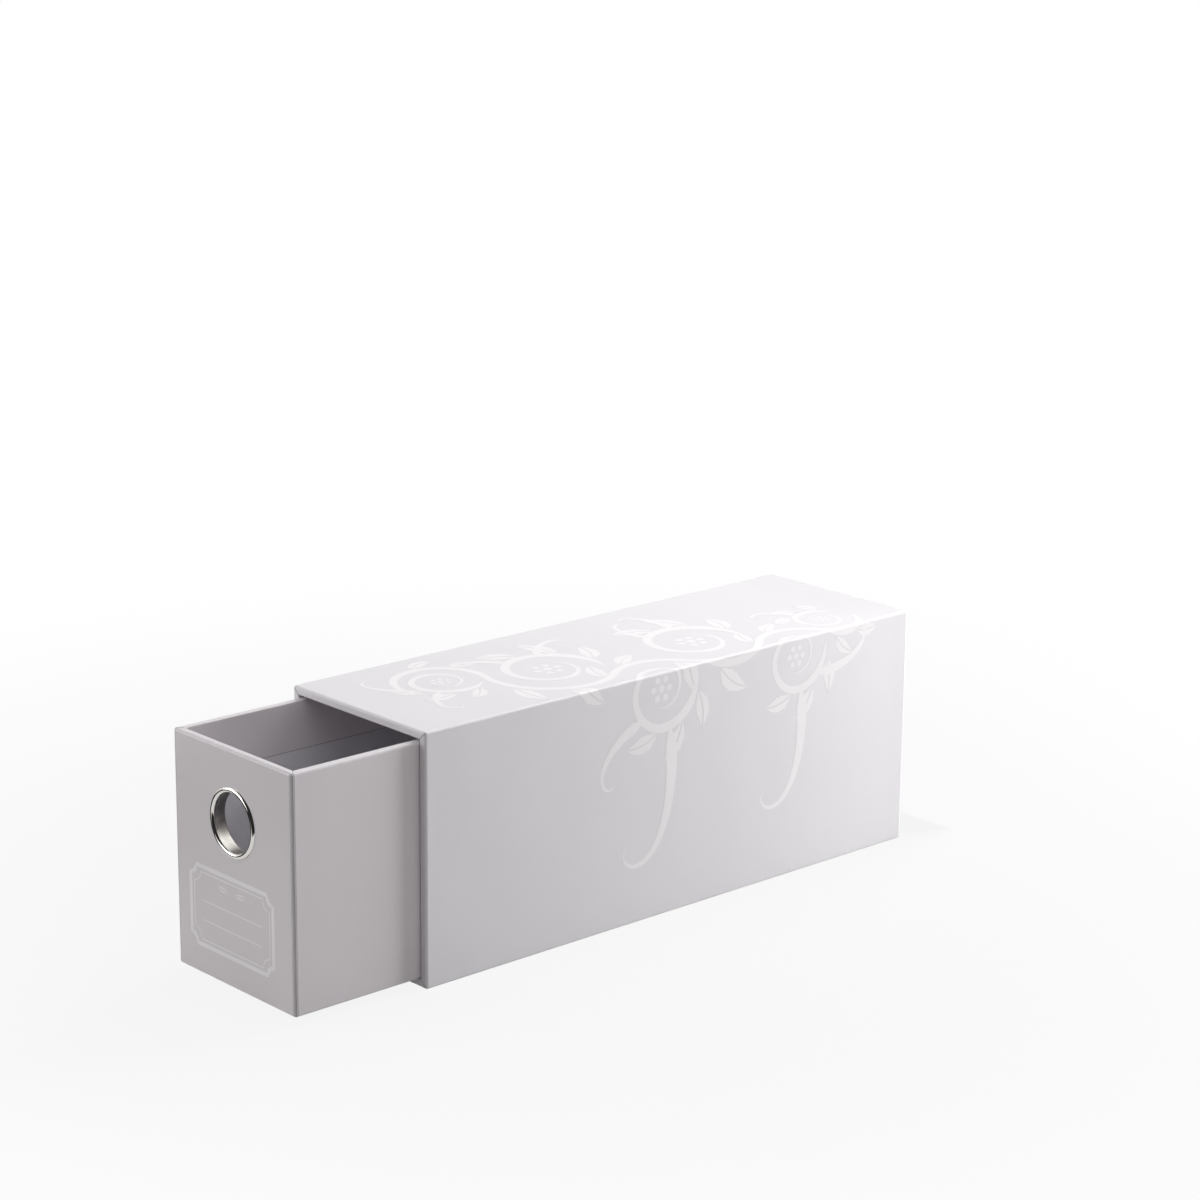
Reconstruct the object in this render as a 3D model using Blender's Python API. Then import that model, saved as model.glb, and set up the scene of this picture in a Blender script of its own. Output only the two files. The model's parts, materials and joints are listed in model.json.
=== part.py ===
"""Drawer box for trading cards, built the way a rigid paper-wrapped box is built.

Two assemblies are modelled, in metres with +Z up. The sleeve is a tube of greyboard, closed at the
back, covered in laminated paper and lined inside. The drawer is an open tray of the same board,
paper and lining, with a metal finger ring through its front. The origin is the centre of the
sleeve's underside, +Y points to the closed back, and the drawer slides out along -Y.
"""

import math

import bmesh
import bpy
from mathutils import Matrix, Vector

# Outside of the sleeve
SLEEVE_WIDTH = 0.0874
SLEEVE_LENGTH = 0.2852
SLEEVE_HEIGHT = 0.1100

# Sheet stock and the gaps between glued layers
BOARD = 0.0020
PAPER = 0.0003
STAY_TAPE = 0.00015
GLUE_GAP = 0.00025
BUTT_GAP = 0.0003

# Folded edges of the wraps: outside fold, fold at the inner side of a hem, corner inside a hem
EDGE_ROUND = 0.0010
HEM_ROUND = 0.0008
INNER_CORNER_ROUND = 0.0004

# How far the sleeve's wrap turns in at the mouth, over the back and under the base
SLEEVE_TURN_IN = 0.020
BACK_TURN_OVER = 0.015
BASE_TURN_UNDER = 0.015
BASE_TAIL = 0.006
BACK_PANEL_MARGIN = 0.0022

# Corner tape that holds the boards together before they are wrapped
STAY_LEG = 0.012
STAY_SETBACK = 0.0012
STAY_CHAMFER = 0.0004

# Fit of the drawer in the sleeve, and how far it is pulled out
SIDE_CLEARANCE = 0.0004
RUNNING_GAP = 0.0003
TOP_CLEARANCE = 0.0011
BACK_CLEARANCE = 0.0010
DRAWER_PULLED = 0.0634

# The drawer's wrap: rim hem depth, and the flattened fold of its two front corners
RIM_TURN_IN = 0.0211
FRONT_FOLD_ACROSS = 0.0019
FRONT_FOLD_ALONG = 0.0011

# Finger ring: an eyelet pressed through the drawer's front and rolled over a washer behind it
RING_BELOW_RIM = 0.0305
RING_BORE_RADIUS = 0.0123
RING_FLANGE_WIDTH = 0.0027
RING_METAL = 0.0005
RING_GAP = 0.0003
ROLL_RADIUS = 0.0009
WASHER_THICKNESS = 0.0006

# Length by which a cutter passes what it cuts
OVERRUN = 0.004

# Facet counts
FOLD_STEPS = 3
CORNER_STEPS = 3
RING_STEPS = 64
FLANGE_STEPS = 12
ROLL_STEPS = 8

# Layers of every wall, measured in from the outside of the wrap
TAPE_DEPTH = PAPER + GLUE_GAP
BOARD_DEPTH = TAPE_DEPTH + STAY_TAPE + GLUE_GAP
LINING_DEPTH = BOARD_DEPTH + BOARD + GLUE_GAP
WALL = LINING_DEPTH + PAPER

# Layers of the sleeve's back, and of the drawer's floor
BACK_WRAP_DEPTH = PAPER + GLUE_GAP
BACK_BOARD_DEPTH = BACK_WRAP_DEPTH + PAPER + GLUE_GAP
BACK_LINING_DEPTH = BACK_BOARD_DEPTH + BOARD + GLUE_GAP
BACK_WALL = BACK_LINING_DEPTH + PAPER
EDGE_DEPTH = PAPER + GLUE_GAP
FLOOR_LINING_HEIGHT = EDGE_DEPTH + BOARD + GLUE_GAP
FLOOR = FLOOR_LINING_HEIGHT + PAPER

# Outside of the drawer
DRAWER_WIDTH = SLEEVE_WIDTH - 2 * (WALL + SIDE_CLEARANCE)
DRAWER_HEIGHT = SLEEVE_HEIGHT - 2 * WALL - RUNNING_GAP - TOP_CLEARANCE
DRAWER_LENGTH = SLEEVE_LENGTH - BACK_WALL - BACK_CLEARANCE

# Places worked out from the sizes above
RING_HEIGHT = DRAWER_HEIGHT - RING_BELOW_RIM
BARREL_RADIUS = RING_BORE_RADIUS + RING_METAL
HOLE_RADIUS = BARREL_RADIUS + RING_GAP
FLANGE_TUBE = RING_FLANGE_WIDTH / 2
RING_FLANGE_RADIUS = RING_BORE_RADIUS + RING_FLANGE_WIDTH
WASHER_FACE = WALL + RING_GAP + WASHER_THICKNESS


def material(name, colour, roughness, metallic=0.0):
    """A Principled material with the finish of one kind of stock."""
    made = bpy.data.materials.new(name)
    made.use_nodes = True
    shader = made.node_tree.nodes["Principled BSDF"]
    shader.inputs["Base Color"].default_value = (*colour, 1.0)
    shader.inputs["Roughness"].default_value = roughness
    shader.inputs["Metallic"].default_value = metallic
    made.diffuse_color = (*colour, 1.0)
    return made


def add_piece(name, mesh_builder, finish, parent, smooth=False):
    """Turns a bmesh into a named object that is carried by its assembly's empty."""
    bmesh.ops.recalc_face_normals(mesh_builder, faces=mesh_builder.faces[:])
    mesh = bpy.data.meshes.new(name)
    mesh_builder.to_mesh(mesh)
    mesh_builder.free()
    if smooth:
        mesh.shade_smooth()
        mesh.set_sharp_from_angle(angle=math.radians(35))
    mesh.materials.append(finish)
    piece = bpy.data.objects.new(name, mesh)
    bpy.context.scene.collection.objects.link(piece)
    piece.parent = parent
    return piece


def cutter(name, mesh_builder, parent):
    """A guide solid that only shapes other pieces."""
    guide = add_piece(name, mesh_builder, CUTTER_FINISH, parent)
    guide.hide_render = True
    guide.display_type = "WIRE"
    return guide


def cut(piece, guide, operation="DIFFERENCE"):
    """Takes a guide's volume away from a piece, or keeps only what they share."""
    change = piece.modifiers.new(operation.title(), "BOOLEAN")
    change.operation = operation
    change.object = guide
    change.solver = "EXACT"


def box_between(low, high):
    """A closed box from its lowest to its highest corner."""
    low, high = Vector(low), Vector(high)
    made = bmesh.new()
    bmesh.ops.create_cube(made, size=1.0)
    bmesh.ops.scale(made, vec=high - low, verts=made.verts[:])
    bmesh.ops.translate(made, vec=(low + high) / 2, verts=made.verts[:])
    return made


def prism(outline, place, start, end):
    """Extrudes a flat outline from start to end; place turns (a, b, along) into a point."""
    made = bmesh.new()
    near = [made.verts.new(place(a, b, start)) for a, b in outline]
    lid = made.faces.new(near)
    pushed = bmesh.ops.extrude_face_region(made, geom=[lid])
    far = [v for v in pushed["geom"] if isinstance(v, bmesh.types.BMVert)]
    shift = Vector(place(0, 0, end)) - Vector(place(0, 0, start))
    bmesh.ops.translate(made, vec=shift, verts=far)
    return made


def rounded_outline(half_a, half_b, corners):
    """A rectangle's outline, anticlockwise from +a +b, with one pair of fold radii a corner."""
    signs = ((1, 1), (-1, 1), (-1, -1), (1, -1))
    outline = []
    for turn, ((side_a, side_b), (radius_a, radius_b)) in enumerate(zip(signs, corners)):
        for step in range(CORNER_STEPS + 1):
            angle = math.pi / 2 * (turn + step / CORNER_STEPS)
            outline.append((
                side_a * (half_a - radius_a) + radius_a * math.cos(angle),
                side_b * (half_b - radius_b) + radius_b * math.sin(angle),
            ))
    return outline


def loft(rings, place, closed):
    """Joins rings of equal count; a closed loft ends where it starts, an open one is capped."""
    made = bmesh.new()
    loops = [[made.verts.new(place(*point)) for point in ring] for ring in rings]
    pairs = list(zip(loops, loops[1:] + loops[:1])) if closed else list(zip(loops, loops[1:]))
    for near, far in pairs:
        for here in range(len(near)):
            there = (here + 1) % len(near)
            made.faces.new((near[here], near[there], far[there], far[here]))
    if not closed:
        made.faces.new(loops[0])
        made.faces.new(loops[-1])
    return made


def fold(centre_inset, centre_along, radius, start, end):
    """Points of a folded edge in the plane of (inset, along), with angles in quarter turns."""
    points = []
    for step in range(FOLD_STEPS + 1):
        angle = math.pi / 2 * (start + (end - start) * step / FOLD_STEPS)
        points.append((
            centre_inset + radius * math.cos(angle),
            centre_along + radius * math.sin(angle),
        ))
    return points


def hem(depth, mouth, turn_in):
    """Section of a folded hem at a given depth in the paper, from the outside to the hem's edge.

    Insets run inwards and the sheet's edge lies at mouth; the tube runs towards +along.
    """
    outer = fold(EDGE_ROUND, mouth + EDGE_ROUND, EDGE_ROUND - depth, 2, 3)
    inner_centre = WALL - HEM_ROUND
    inner = fold(inner_centre, mouth + HEM_ROUND, HEM_ROUND - depth, 3, 4)
    return [*outer, *inner, (WALL - depth, mouth + turn_in)]


def fold_radii(inset, plain):
    """Corner radii of a ring at an inset: the outer fold shrinks to its centre, then the hem's."""
    least = INNER_CORNER_ROUND / 4
    if inset < WALL / 2:
        return [(max(a - inset, least), max(b - inset, least)) for a, b in plain]
    return [(max(INNER_CORNER_ROUND + WALL - inset, least),) * 2] * len(plain)


def ring(width, height, inset, along, plain):
    """A rounded rectangle of the tube's section, as (a, b, along) points."""
    outline = rounded_outline(width / 2 - inset, height / 2 - inset, fold_radii(inset, plain))
    return [(a, b, along) for a, b in outline]


def along_sleeve(a, b, along):
    """Sections of the sleeve stand across Y; along is the distance behind the mouth."""
    return (a, along, b + SLEEVE_HEIGHT / 2)


def along_drawer(a, b, along):
    """Sections of the drawer lie flat; along is the distance below the rim."""
    return (a, b + DRAWER_LENGTH / 2, DRAWER_HEIGHT - along)


SLEEVE_CORNERS = [(EDGE_ROUND, EDGE_ROUND)] * 4
DRAWER_CORNERS = [
    (EDGE_ROUND, EDGE_ROUND),
    (EDGE_ROUND, EDGE_ROUND),
    (FRONT_FOLD_ACROSS, FRONT_FOLD_ALONG),
    (FRONT_FOLD_ACROSS, FRONT_FOLD_ALONG),
]


def sleeve_paper_tube():
    """The whole wrapped skin of the sleeve: hem at the mouth, four sides, turn-over at the back."""
    back = SLEEVE_LENGTH - BACK_WRAP_DEPTH
    sides = []
    for depth in (0, PAPER):
        section = [(BACK_TURN_OVER, back - depth)]
        section += fold(EDGE_ROUND, back - EDGE_ROUND, EDGE_ROUND - depth, 1, 2)
        section += hem(depth, 0, SLEEVE_TURN_IN)
        sides.append(section)
    section = sides[0] + sides[1][::-1]
    rings = [ring(SLEEVE_WIDTH, SLEEVE_HEIGHT, inset, along, SLEEVE_CORNERS) for inset, along in section]
    return loft(rings, along_sleeve, closed=True)


def base_sheet_area(gap):
    """The part of the underside that the base sheet covers, narrowed by a gap at its edges."""
    half = SLEEVE_WIDTH / 2 - BASE_TURN_UNDER - gap
    end = SLEEVE_LENGTH - BASE_TAIL - gap
    return box_between((-half, -OVERRUN, -OVERRUN), (half, end, WALL + BOARD / 2))


def make_sleeve_papers(parent):
    """The printed wrap, the base sheet between its turned-under edges, and the back panel."""
    wrap = add_piece("sleeve_wrap", sleeve_paper_tube(), WRAP_FINISH, parent)
    cut(wrap, cutter("base_cutter", base_sheet_area(0), parent))
    base = add_piece("sleeve_base_sheet", sleeve_paper_tube(), WRAP_FINISH, parent)
    cut(base, cutter("base_keeper", base_sheet_area(BUTT_GAP), parent), "INTERSECT")
    half_width = SLEEVE_WIDTH / 2 - BACK_PANEL_MARGIN
    panel = box_between(
        (-half_width, SLEEVE_LENGTH - PAPER, BACK_PANEL_MARGIN),
        (half_width, SLEEVE_LENGTH, SLEEVE_HEIGHT - BACK_PANEL_MARGIN),
    )
    add_piece("sleeve_back_panel", panel, WRAP_FINISH, parent)


def make_sleeve_linings(parent):
    """Inner papers: a four-sided lining behind the hem and a sheet on the back board."""
    start = SLEEVE_TURN_IN + BUTT_GAP
    end = SLEEVE_LENGTH - BACK_LINING_DEPTH
    rings = [
        ring(SLEEVE_WIDTH, SLEEVE_HEIGHT, inset, along, SLEEVE_CORNERS)
        for inset, along in ((WALL, start), (WALL, end), (LINING_DEPTH, end), (LINING_DEPTH, start))
    ]
    add_piece("sleeve_lining", loft(rings, along_sleeve, closed=True), LINING_FINISH, parent)
    side = WALL + BUTT_GAP
    sheet = box_between(
        (side - SLEEVE_WIDTH / 2, SLEEVE_LENGTH - BACK_WALL, side),
        (SLEEVE_WIDTH / 2 - side, end, SLEEVE_HEIGHT - side),
    )
    add_piece("sleeve_back_lining", sheet, LINING_FINISH, parent)


def make_sleeve_boards(parent):
    """Top and bottom boards across the full width, sides between them, the back inside all four."""
    outer = SLEEVE_WIDTH / 2 - BOARD_DEPTH
    front = EDGE_DEPTH
    back = SLEEVE_LENGTH - BACK_BOARD_DEPTH
    low = BOARD_DEPTH
    high = SLEEVE_HEIGHT - BOARD_DEPTH
    step = BOARD + BUTT_GAP
    boards = {
        "sleeve_top_board": ((-outer, front, high - BOARD), (outer, back, high)),
        "sleeve_bottom_board": ((-outer, front, low), (outer, back, low + BOARD)),
        "sleeve_left_board": ((-outer, front, low + step), (BOARD - outer, back, high - step)),
        "sleeve_right_board": ((outer - BOARD, front, low + step), (outer, back, high - step)),
        "sleeve_back_board": (
            (step - outer, back - BOARD, low + step),
            (outer - step, back, high - step),
        ),
    }
    for name, (lowest, highest) in boards.items():
        add_piece(name, box_between(lowest, highest), BOARD_FINISH, parent)


def stay_outline(side_a, side_b, half_a, half_b):
    """Section of a folded tape strip round one corner of a half_a by half_b tube."""
    outer_bend = STAY_CHAMFER
    inner_bend = STAY_CHAMFER + STAY_TAPE * (math.sqrt(2) - 1)
    outer = [(0, STAY_LEG), (0, outer_bend), (outer_bend, 0), (STAY_LEG, 0)]
    inner = [
        (STAY_LEG, STAY_TAPE),
        (inner_bend, STAY_TAPE),
        (STAY_TAPE, inner_bend),
        (STAY_TAPE, STAY_LEG),
    ]
    return [
        (side_a * (half_a - TAPE_DEPTH - a), side_b * (half_b - TAPE_DEPTH - b))
        for a, b in outer + inner
    ]


def make_stays(prefix, names, half_a, half_b, place, start, end, parent):
    """One folded tape strip along each of the four corners of a tube."""
    for name, (side_a, side_b) in names.items():
        outline = stay_outline(side_a, side_b, half_a, half_b)
        add_piece(f"{prefix}_stay_{name}", prism(outline, place, start, end), TAPE_FINISH, parent)


def drawer_paper_tray():
    """The drawer's wrap: underside, four walls, rim and the hem turned in below it."""
    section = []
    bottom = DRAWER_HEIGHT
    for depth in (0, PAPER):
        side = fold(EDGE_ROUND, bottom - EDGE_ROUND, EDGE_ROUND - depth, 1, 2)
        side += hem(depth, 0, RIM_TURN_IN)
        section += side if depth == 0 else side[::-1]
    rings = [ring(DRAWER_WIDTH, DRAWER_LENGTH, inset, along, DRAWER_CORNERS) for inset, along in section]
    return loft(rings, along_drawer, closed=False)


def finger_hole(parent):
    """The round hole through the drawer's front."""
    made = bmesh.new()
    reach = WALL + 2 * OVERRUN
    bmesh.ops.create_cone(
        made, cap_ends=True, segments=RING_STEPS, radius1=HOLE_RADIUS, radius2=HOLE_RADIUS, depth=reach
    )
    stand = Matrix.Translation((0, reach / 2 - OVERRUN, RING_HEIGHT)) @ Matrix.Rotation(math.pi / 2, 4, "X")
    bmesh.ops.transform(made, matrix=stand, verts=made.verts[:])
    return cutter("hole_cutter", made, parent)


def make_drawer_papers(parent, hole):
    """The tray's wrap, its wall lining below the hem, and the sheet on its floor."""
    wrap = add_piece("drawer_wrap", drawer_paper_tray(), WRAP_FINISH, parent)
    cut(wrap, hole)
    start = RIM_TURN_IN + BUTT_GAP
    end = DRAWER_HEIGHT - FLOOR_LINING_HEIGHT
    rings = [
        ring(DRAWER_WIDTH, DRAWER_LENGTH, inset, along, DRAWER_CORNERS)
        for inset, along in ((WALL, start), (WALL, end), (LINING_DEPTH, end), (LINING_DEPTH, start))
    ]
    lining = add_piece("drawer_wall_lining", loft(rings, along_drawer, closed=True), LINING_FINISH, parent)
    cut(lining, hole)
    side = WALL + BUTT_GAP
    sheet = box_between(
        (side - DRAWER_WIDTH / 2, side, FLOOR_LINING_HEIGHT),
        (DRAWER_WIDTH / 2 - side, DRAWER_LENGTH - side, FLOOR),
    )
    add_piece("drawer_floor_lining", sheet, LINING_FINISH, parent)


def make_drawer_boards(parent, hole):
    """Side boards of full length, front and back between them, and the floor inside all four."""
    outer = DRAWER_WIDTH / 2 - BOARD_DEPTH
    front = BOARD_DEPTH
    back = DRAWER_LENGTH - BOARD_DEPTH
    low = EDGE_DEPTH
    high = DRAWER_HEIGHT - EDGE_DEPTH
    step = BOARD + BUTT_GAP
    boards = {
        "drawer_left_board": ((-outer, front, low), (BOARD - outer, back, high)),
        "drawer_right_board": ((outer - BOARD, front, low), (outer, back, high)),
        "drawer_front_board": ((step - outer, front, low), (outer - step, front + BOARD, high)),
        "drawer_back_board": ((step - outer, back - BOARD, low), (outer - step, back, high)),
        "drawer_floor_board": (
            (step - outer, front + step, low),
            (outer - step, back - step, low + BOARD),
        ),
    }
    for name, (lowest, highest) in boards.items():
        board = add_piece(name, box_between(lowest, highest), BOARD_FINISH, parent)
        if name == "drawer_front_board":
            cut(board, hole)


def arc(centre_radius, centre_height, radius, start, end, steps):
    """Points of a turned profile's arc as (radius, height), with angles in quarter turns."""
    points = []
    for step in range(steps + 1):
        angle = math.pi / 2 * (start + (end - start) * step / steps)
        points.append((
            centre_radius + radius * math.cos(angle),
            centre_height + radius * math.sin(angle),
        ))
    return points


def turned(profile):
    """Spins a closed profile of (radius, height) points once round the vertical axis."""
    made = bmesh.new()
    corners = [made.verts.new((radius, 0, height)) for radius, height in profile]
    edges = [made.edges.new(pair) for pair in zip(corners, corners[1:] + corners[:1])]
    bmesh.ops.spin(
        made,
        geom=corners + edges,
        cent=(0, 0, 0),
        axis=(0, 0, 1),
        angle=2 * math.pi,
        steps=RING_STEPS,
        use_merge=True,
    )
    return made


def stand_on_front(piece):
    """Puts a turned piece in the finger hole, its height pointing out of the drawer's front."""
    piece.location = (0, 0, RING_HEIGHT)
    piece.rotation_euler = (math.pi / 2, 0, 0)


def make_finger_ring(parent):
    """The eyelet: a hollow half-round flange in front, a barrel, and a rolled end behind."""
    crown = RING_BORE_RADIUS + FLANGE_TUBE
    roll_centre = RING_BORE_RADIUS + ROLL_RADIUS
    roll_height = -(WASHER_FACE + RING_GAP)
    seen = arc(crown, RING_GAP, FLANGE_TUBE, 0, 2, FLANGE_STEPS)
    seen += arc(roll_centre, roll_height, ROLL_RADIUS, 2, 4, ROLL_STEPS)
    hidden = arc(crown, RING_GAP, FLANGE_TUBE - RING_METAL, 0, 2, FLANGE_STEPS)
    hidden += arc(roll_centre, roll_height, ROLL_RADIUS - RING_METAL, 2, 4, ROLL_STEPS)
    eyelet = add_piece("finger_ring", turned(seen + hidden[::-1]), METAL_FINISH, parent, smooth=True)
    stand_on_front(eyelet)
    profile = [
        (HOLE_RADIUS, -WASHER_FACE),
        (RING_FLANGE_RADIUS, -WASHER_FACE),
        (RING_FLANGE_RADIUS, WASHER_THICKNESS - WASHER_FACE),
        (HOLE_RADIUS, WASHER_THICKNESS - WASHER_FACE),
    ]
    washer = add_piece("finger_ring_washer", turned(profile), METAL_FINISH, parent, smooth=True)
    stand_on_front(washer)


def assembly(name, place):
    """An empty that carries one assembly's pieces."""
    empty = bpy.data.objects.new(name, None)
    empty.location = place
    bpy.context.scene.collection.objects.link(empty)
    return empty


def make_sleeve():
    """The sleeve, built from its mouth backwards."""
    sleeve = assembly("sleeve", (0, -SLEEVE_LENGTH / 2, 0))
    make_sleeve_boards(sleeve)
    make_sleeve_papers(sleeve)
    make_sleeve_linings(sleeve)
    corners = {
        "top_left": (-1, 1),
        "top_right": (1, 1),
        "bottom_left": (-1, -1),
        "bottom_right": (1, -1),
    }
    start = EDGE_DEPTH + STAY_SETBACK
    end = SLEEVE_LENGTH - BACK_BOARD_DEPTH - STAY_SETBACK
    make_stays(
        "sleeve", corners, SLEEVE_WIDTH / 2, SLEEVE_HEIGHT / 2, along_sleeve, start, end, sleeve
    )


def make_drawer():
    """The drawer, built from the middle of its front's lower edge and pulled out of the sleeve."""
    front = -SLEEVE_LENGTH / 2 - DRAWER_PULLED
    drawer = assembly("drawer", (0, front, WALL + RUNNING_GAP))
    hole = finger_hole(drawer)
    make_drawer_boards(drawer, hole)
    make_drawer_papers(drawer, hole)
    corners = {
        "front_left": (-1, -1),
        "front_right": (1, -1),
        "back_left": (-1, 1),
        "back_right": (1, 1),
    }
    start = EDGE_DEPTH + STAY_SETBACK
    end = DRAWER_HEIGHT - EDGE_DEPTH - STAY_SETBACK
    make_stays(
        "drawer", corners, DRAWER_WIDTH / 2, DRAWER_LENGTH / 2, along_drawer, start, end, drawer
    )
    make_finger_ring(drawer)


for old in list(bpy.data.objects):
    bpy.data.objects.remove(old)

WRAP_FINISH = material("laminated_wrap", (0.78, 0.77, 0.79), 0.42)
LINING_FINISH = material("lining_paper", (0.70, 0.69, 0.71), 0.65)
BOARD_FINISH = material("greyboard", (0.30, 0.29, 0.27), 0.90)
TAPE_FINISH = material("stay_tape", (0.52, 0.40, 0.27), 0.75)
METAL_FINISH = material("polished_nickel", (0.80, 0.79, 0.77), 0.12, 1.0)
CUTTER_FINISH = material("guide", (0.9, 0.2, 0.1), 0.5)

make_sleeve()
make_drawer()
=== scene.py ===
# %% [markdown]
# # A drawer box for trading cards
# A rigid card box is two trays of grey board covered in printed paper: a long sleeve that is open at
# one end, and a drawer that slides in it. This lesson dresses a packed model of such a box. The
# packed model is the frame: its pieces keep their places, and new pieces are measured from it.

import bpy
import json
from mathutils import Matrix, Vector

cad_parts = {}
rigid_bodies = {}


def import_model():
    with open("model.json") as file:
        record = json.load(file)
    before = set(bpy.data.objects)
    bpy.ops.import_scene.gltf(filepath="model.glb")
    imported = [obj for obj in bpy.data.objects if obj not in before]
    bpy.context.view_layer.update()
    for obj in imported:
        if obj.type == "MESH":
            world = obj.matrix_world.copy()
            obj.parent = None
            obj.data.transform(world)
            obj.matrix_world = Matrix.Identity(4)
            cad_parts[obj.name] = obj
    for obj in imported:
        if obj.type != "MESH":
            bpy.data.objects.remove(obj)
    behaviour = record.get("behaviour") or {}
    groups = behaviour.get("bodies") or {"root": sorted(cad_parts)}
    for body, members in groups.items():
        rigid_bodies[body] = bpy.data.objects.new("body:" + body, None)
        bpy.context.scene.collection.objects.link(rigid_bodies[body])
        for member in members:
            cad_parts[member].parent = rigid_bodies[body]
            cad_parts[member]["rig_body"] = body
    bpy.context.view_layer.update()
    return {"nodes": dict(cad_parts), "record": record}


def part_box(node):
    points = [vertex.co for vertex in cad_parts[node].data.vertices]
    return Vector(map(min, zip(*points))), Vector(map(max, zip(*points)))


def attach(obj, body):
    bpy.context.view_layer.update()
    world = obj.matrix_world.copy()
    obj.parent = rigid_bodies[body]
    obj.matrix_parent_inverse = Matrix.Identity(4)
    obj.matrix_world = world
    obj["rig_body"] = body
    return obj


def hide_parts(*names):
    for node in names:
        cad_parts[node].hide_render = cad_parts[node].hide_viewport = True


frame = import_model()
print("pieces in the frame:", len(frame["nodes"]))

# %% [markdown]
# ## Measures
# Everything below is worked out from the frame's own boxes, so that a new skin lies exactly where
# the plain one was. Sheet thickness and wall thickness are differences between neighbouring pieces.

# %% Measures of the sleeve and the drawer
import math

import bmesh
import bpy
from mathutils import Matrix, Vector

MM = 0.001
SEAM = 0.3 * MM

WRAP_LOW, WRAP_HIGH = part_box("sleeve_wrap")
PANEL_LOW, PANEL_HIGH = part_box("sleeve_back_panel")
BASE_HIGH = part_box("sleeve_base_sheet")[1]
LINING_LOW, LINING_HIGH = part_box("sleeve_lining")
TRAY_LOW, TRAY_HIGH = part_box("drawer_wrap")
TRAY_LINING_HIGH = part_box("drawer_wall_lining")[1]
RING_LOW, RING_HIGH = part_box("finger_ring")

PAPER = PANEL_HIGH.y - PANEL_LOW.y
WALL = WRAP_HIGH.x - LINING_HIGH.x + PAPER
SLEEVE_HALF = (WRAP_HIGH - WRAP_LOW) / 2
SLEEVE_CENTRE = (WRAP_HIGH + WRAP_LOW) / 2
TRAY_HALF = (TRAY_HIGH - TRAY_LOW) / 2
TRAY_CENTRE = (TRAY_HIGH + TRAY_LOW) / 2
MOUTH = WRAP_LOW.y
FRONT = TRAY_LOW.y
RING_CENTRE = (RING_HIGH + RING_LOW) / 2
print(f"sheet {PAPER / MM:.2f} mm, wall {WALL / MM:.2f} mm, drawer out {(MOUTH - FRONT) / MM:.1f} mm")

# %% [markdown]
# ## Shader maths
# A finish is a set of small sums worked out at every point of a surface: how far is this point from a
# fold, is there a fibre here. Written node by node, such sums are hard to read. The class below wraps
# one output socket and overloads the operators, so that `1 - mask` adds its own Math node.


# %% A value that adds its own Math nodes
class Value:
    """One output socket of a material's nodes."""

    def __init__(self, finish, socket):
        self.finish = finish
        self.socket = socket

    def maths(self, operation, *numbers):
        return self.finish.node("ShaderNodeMath", {"operation": operation}, dict(enumerate(numbers)))

    def __add__(self, other):
        return self.maths("ADD", self, other)

    def __sub__(self, other):
        return self.maths("SUBTRACT", self, other)

    def __mul__(self, other):
        return self.maths("MULTIPLY", self, other)

    def __rsub__(self, other):
        return self.maths("SUBTRACT", other, self)

    __radd__ = __add__
    __rmul__ = __mul__

    def least(self, other):
        return self.maths("MINIMUM", self, other)

    def most(self, other):
        return self.maths("MAXIMUM", self, other)

    def size(self):
        return self.maths("ABSOLUTE", self)

    def root(self):
        return self.maths("SQRT", self)

    def step(self, low, high):
        """0 below low, 1 above high, and a smooth rise between them."""
        sockets = {"Value": self, "From Min": low, "From Max": high}
        return self.finish.node("ShaderNodeMapRange", {"interpolation_type": "SMOOTHSTEP"}, sockets)


print("a value knows:", [name for name in vars(Value) if name[0] != "_"])

# %% [markdown]
# A finish keeps its material, its Principled shader and one method that adds any node: the node's
# type, its settings, and what goes into its sockets. A number or colour is typed into a socket, and
# a `Value` is linked to it.


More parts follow.
